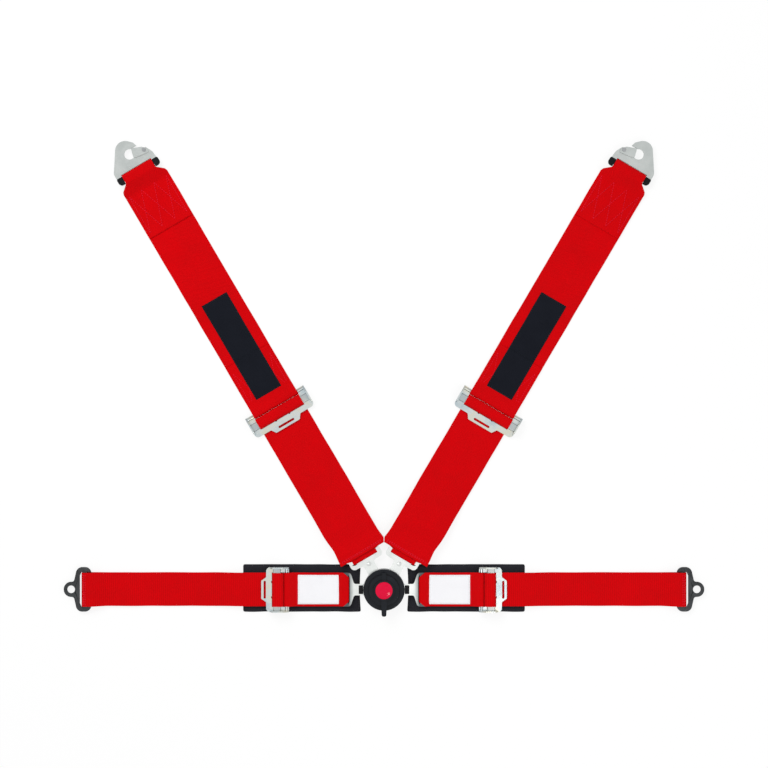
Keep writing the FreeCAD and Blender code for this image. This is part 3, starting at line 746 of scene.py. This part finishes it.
def makePad(side):
    arm = side + "_lap"
    body = lapBody(side)
    length = padHigh.x - padLow.x
    width = padHigh.y - padLow.y
    bm = bmesh.new()
    bmesh.ops.create_grid(bm, x_segments=round(length / padShape["step"]),
                          y_segments=round(width / padShape["step"]), size=0.5,
                          matrix=Matrix.Diagonal((length, width, 1, 1)))
    bottom = bmesh.ops.duplicate(bm, geom=bm.faces[:] + bm.edges[:] + bm.verts[:])["geom"]
    lowVerts = {v for v in bottom if isinstance(v, bmesh.types.BMVert)}
    bottomHeight = 0.1
    middle = padShape["rim"] / 2 + bottomHeight
    for vert in bm.verts:
        x, y, _ = vert.co
        fromEnd = length / 2 - abs(x)
        fromSide = width / 2 - abs(y)
        rise = smoothStep(min(fromEnd, fromSide), 0.0, padShape["edge"])
        channel = channelDepth(fromSide)
        if fromSide > padShape["channelInset"] - 1:
            channel = max(channel, channelDepth(fromEnd))
        puff = noise.noise(Vector((x / 26, y / 15, 4.0))) * padShape["puff"] * rise
        top = padShape["rim"] / 2 + (padShape["crown"] - padShape["rim"]) * rise + puff - channel * rise
        vert.co.z = bottomHeight if vert in lowVerts else min(padShape["ceiling"], middle + top - 0.5)
        cornerX = max(0.0, padShape["corner"] - fromEnd)
        cornerY = max(0.0, padShape["corner"] - fromSide)
        pull = max(0.0, math.hypot(cornerX, cornerY) - padShape["corner"])
        if pull:
            vert.co.x -= math.copysign(pull * 0.7, x)
            vert.co.y -= math.copysign(pull * 0.7, y)
        ripple = noise.noise(Vector((x / 30, 7.0 if y > 0 else 2.0, 0)))
        vert.co.y += padShape["wave"] * ripple * (abs(y) * 2 / width) ** 4
        nearEnd = smoothStep(-x, length / 2 - 20, length / 2)
        vert.co.x += padShape["bow"] * (1 - (y * 2 / width) ** 2) * nearEnd
    rims = [e for e in bm.edges if e.is_boundary]
    bmesh.ops.bridge_loops(bm, edges=rims)
    bmesh.ops.translate(bm, vec=((padLow.x + padHigh.x) / 2, (padLow.y + padHigh.y) / 2, 0), verts=bm.verts)
    pad = linkObject(arm + "_foam_pad", bm, arm, recalc=True)
    finishPiece(pad, "padFabric", body, [arm + "_pad"])
    inset = Vector((padShape["threadInset"], padShape["threadInset"], 0))
    low = padLow + inset
    high = padHigh - inset
    corners = [(low.x, low.y), (high.x, low.y), (high.x, high.y), (low.x, high.y), (low.x, low.y)]
    line = [(*corner, padShape["threadHeight"]) for corner in corners]
    sew(arm + "_pad_stitching", arm, [line], "darkThread", body)


def makeLap(side):
    arm = side + "_lap"
    body = lapBody(side)
    place = armPlaces[arm]
    inner = strap(arm + "_tongue_strap", arm, lapInnerCorners(), lap["width"], lapInnerOutline, step=3.0,
                  seed=13.0)
    finishPiece(inner, "shoulderWebbing", body, [arm + "_inner_webbing"])
    outer = strap(arm + "_running_strap", arm, lapOuterCorners(), lap["width"], seed=17.0)
    finishPiece(outer, "lapWebbing", None, [arm + "_outer_webbing", arm + "_webbing_wrap"])
    lift = lap["lift"]
    bendFrom = place @ Vector((rearLap + lap["bendLength"], 0, lift))
    bendTo = place @ Vector((rearLap + wrapShape["end"], 0, lift))
    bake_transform(outer, body, side + "_lap_adjuster", start=bendFrom, end=bendTo)
    top = lift + layer["second"] + stitchSize["proud"]
    sew(arm + "_tongue_stitching", arm, crossLines((130.4, 132.6), 22, top), "redThread", body)
    hemTop = 2 * bracketUp - layer["first"] + 2.95 + 0.85
    hemLines = crossLines((bracketAxis - 1.4, bracketAxis + 0.6), 23, hemTop)
    sew(arm + "_hem_stitching", arm, hemLines, "redThread", body)
    backLines = crossLines((bracketAxis - 50, bracketAxis - 80), 22, stitchSize["backHeight"])
    sew(arm + "_back_stitching", arm, backLines, "redThread", body)


for side in ("left", "right"):
    makeLap(side)
    makeDarkLabel(side)
    makeLightLabel(side)
    makePad(side)
print("lap straps, labels and pads made")


# hardware kept from the frame: softened edges and its own finish
edgeSizes = {"tongueSteel": 0.0006, "dishShadedSteel": 0.0006, "zinc": 0.0004, "lockZinc": 0.0004,
             "hookSteel": 0.0007, "bracketSteel": 0.0006, "blackPlastic": 0.0005, "guardPlastic": 0.0005}


def dressNode(name, material):
    node = nodes[name]
    node.data.materials.clear()
    node.data.materials.append(materials[material])
    if material in edgeSizes:
        weld = node.modifiers.new("weld", "WELD")
        weld.merge_threshold = 0.00001
        bevel = node.modifiers.new("edges", "BEVEL")
        bevel.width = edgeSizes[material]
        bevel.segments = 3
        bevel.angle_limit = math.radians(38)


for part in frame["record"]["subparts"]:
    if not nodes[part["node"]].hide_render:
        # the lap tongues take the steel with painted shade across the dish
        dished = part["node"].endswith("lap_tongue")
        dressNode(part["node"], "dishShadedSteel" if dished else slotMaterials[part["material_slot"]])
print("hardware dressed")


# floor, lamps and world
lighting = {"floorGlow": 0.84, "world": 0.6, "key": 34.0, "fill": 14.0, "glint": 1.2, "horizon": 0.3,
            "zenith": 0.93, "aim": (0, 0.3, 0)}


def makeFloor():
    bm = bmesh.new()
    bmesh.ops.create_grid(bm, x_segments=1, y_segments=1, size=40.0)
    floor = linkObject("floor", bm)
    graph = Graph("white floor")
    tree = graph.tree
    path = graph.add("ShaderNodeLightPath")
    outputs = path.socket.node.outputs
    seen = Value(graph, outputs["Is Camera Ray"]) + Value(graph, outputs["Is Glossy Ray"])
    diffuse = graph.add("ShaderNodeBsdfDiffuse", {}, {"Color": (0.93, 0.93, 0.93)})
    glow = graph.add("ShaderNodeEmission", {}, {"Color": (1.0, 1.0, 1.0), "Strength": 1.0})
    mixed = graph.add("ShaderNodeMixShader", {}, {0: seen * lighting["floorGlow"], 1: diffuse, 2: glow})
    tree.links.new(mixed.socket, tree.nodes["Material Output"].inputs["Surface"])
    floor.data.materials.append(graph.material)


def makeLamp(name, size, power, place, reflected=False):
    data = bpy.data.lights.new(name, "AREA")
    data.shape = "RECTANGLE"
    data.size, data.size_y = size
    data.energy = power
    lamp = bpy.data.objects.new(name, data)
    scene.collection.objects.link(lamp)
    lamp.location = place
    lamp.visible_glossy = reflected
    lamp.rotation_euler = (Vector(lighting["aim"]) - Vector(place)).to_track_quat("-Z", "Y").to_euler()


def makeWorld():
    world = bpy.data.worlds.new("studio")
    scene.world = world
    world.use_nodes = True
    tree = world.node_tree
    # white to the camera, even light on cloth, and for metal a sky that darkens towards the horizon
    background = tree.nodes["Background"]
    background.inputs["Color"].default_value = (1, 1, 1, 1)
    graph = Graph("studio", tree)
    path = graph.add("ShaderNodeLightPath").socket.node.outputs
    camera = Value(graph, path["Is Camera Ray"])
    glossy = Value(graph, path["Is Glossy Ray"])
    up = graph.split(graph.add("ShaderNodeTexCoord"))[2]
    ranges = {"From Min": 0.15, "From Max": 0.8, "To Min": lighting["horizon"], "To Max": lighting["zenith"]}
    sky = graph.add("ShaderNodeMapRange", {}, {"Value": up, **ranges})
    plain = 1.0 - camera - glossy
    strength = camera + glossy * sky + plain * lighting["world"]
    tree.links.new(strength.socket, background.inputs["Strength"])


makeFloor()
makeWorld()
makeLamp("key", (1.6, 1.2), lighting["key"], (-1.1, 1.6, 1.9))
makeLamp("fill", (1.8, 1.8), lighting["fill"], (1.5, -0.9, 1.8))
makeLamp("glint", (0.16, 0.16), lighting["glint"], (0.34, -0.36, 1.1), True)
makeCamera()
print("stage made")
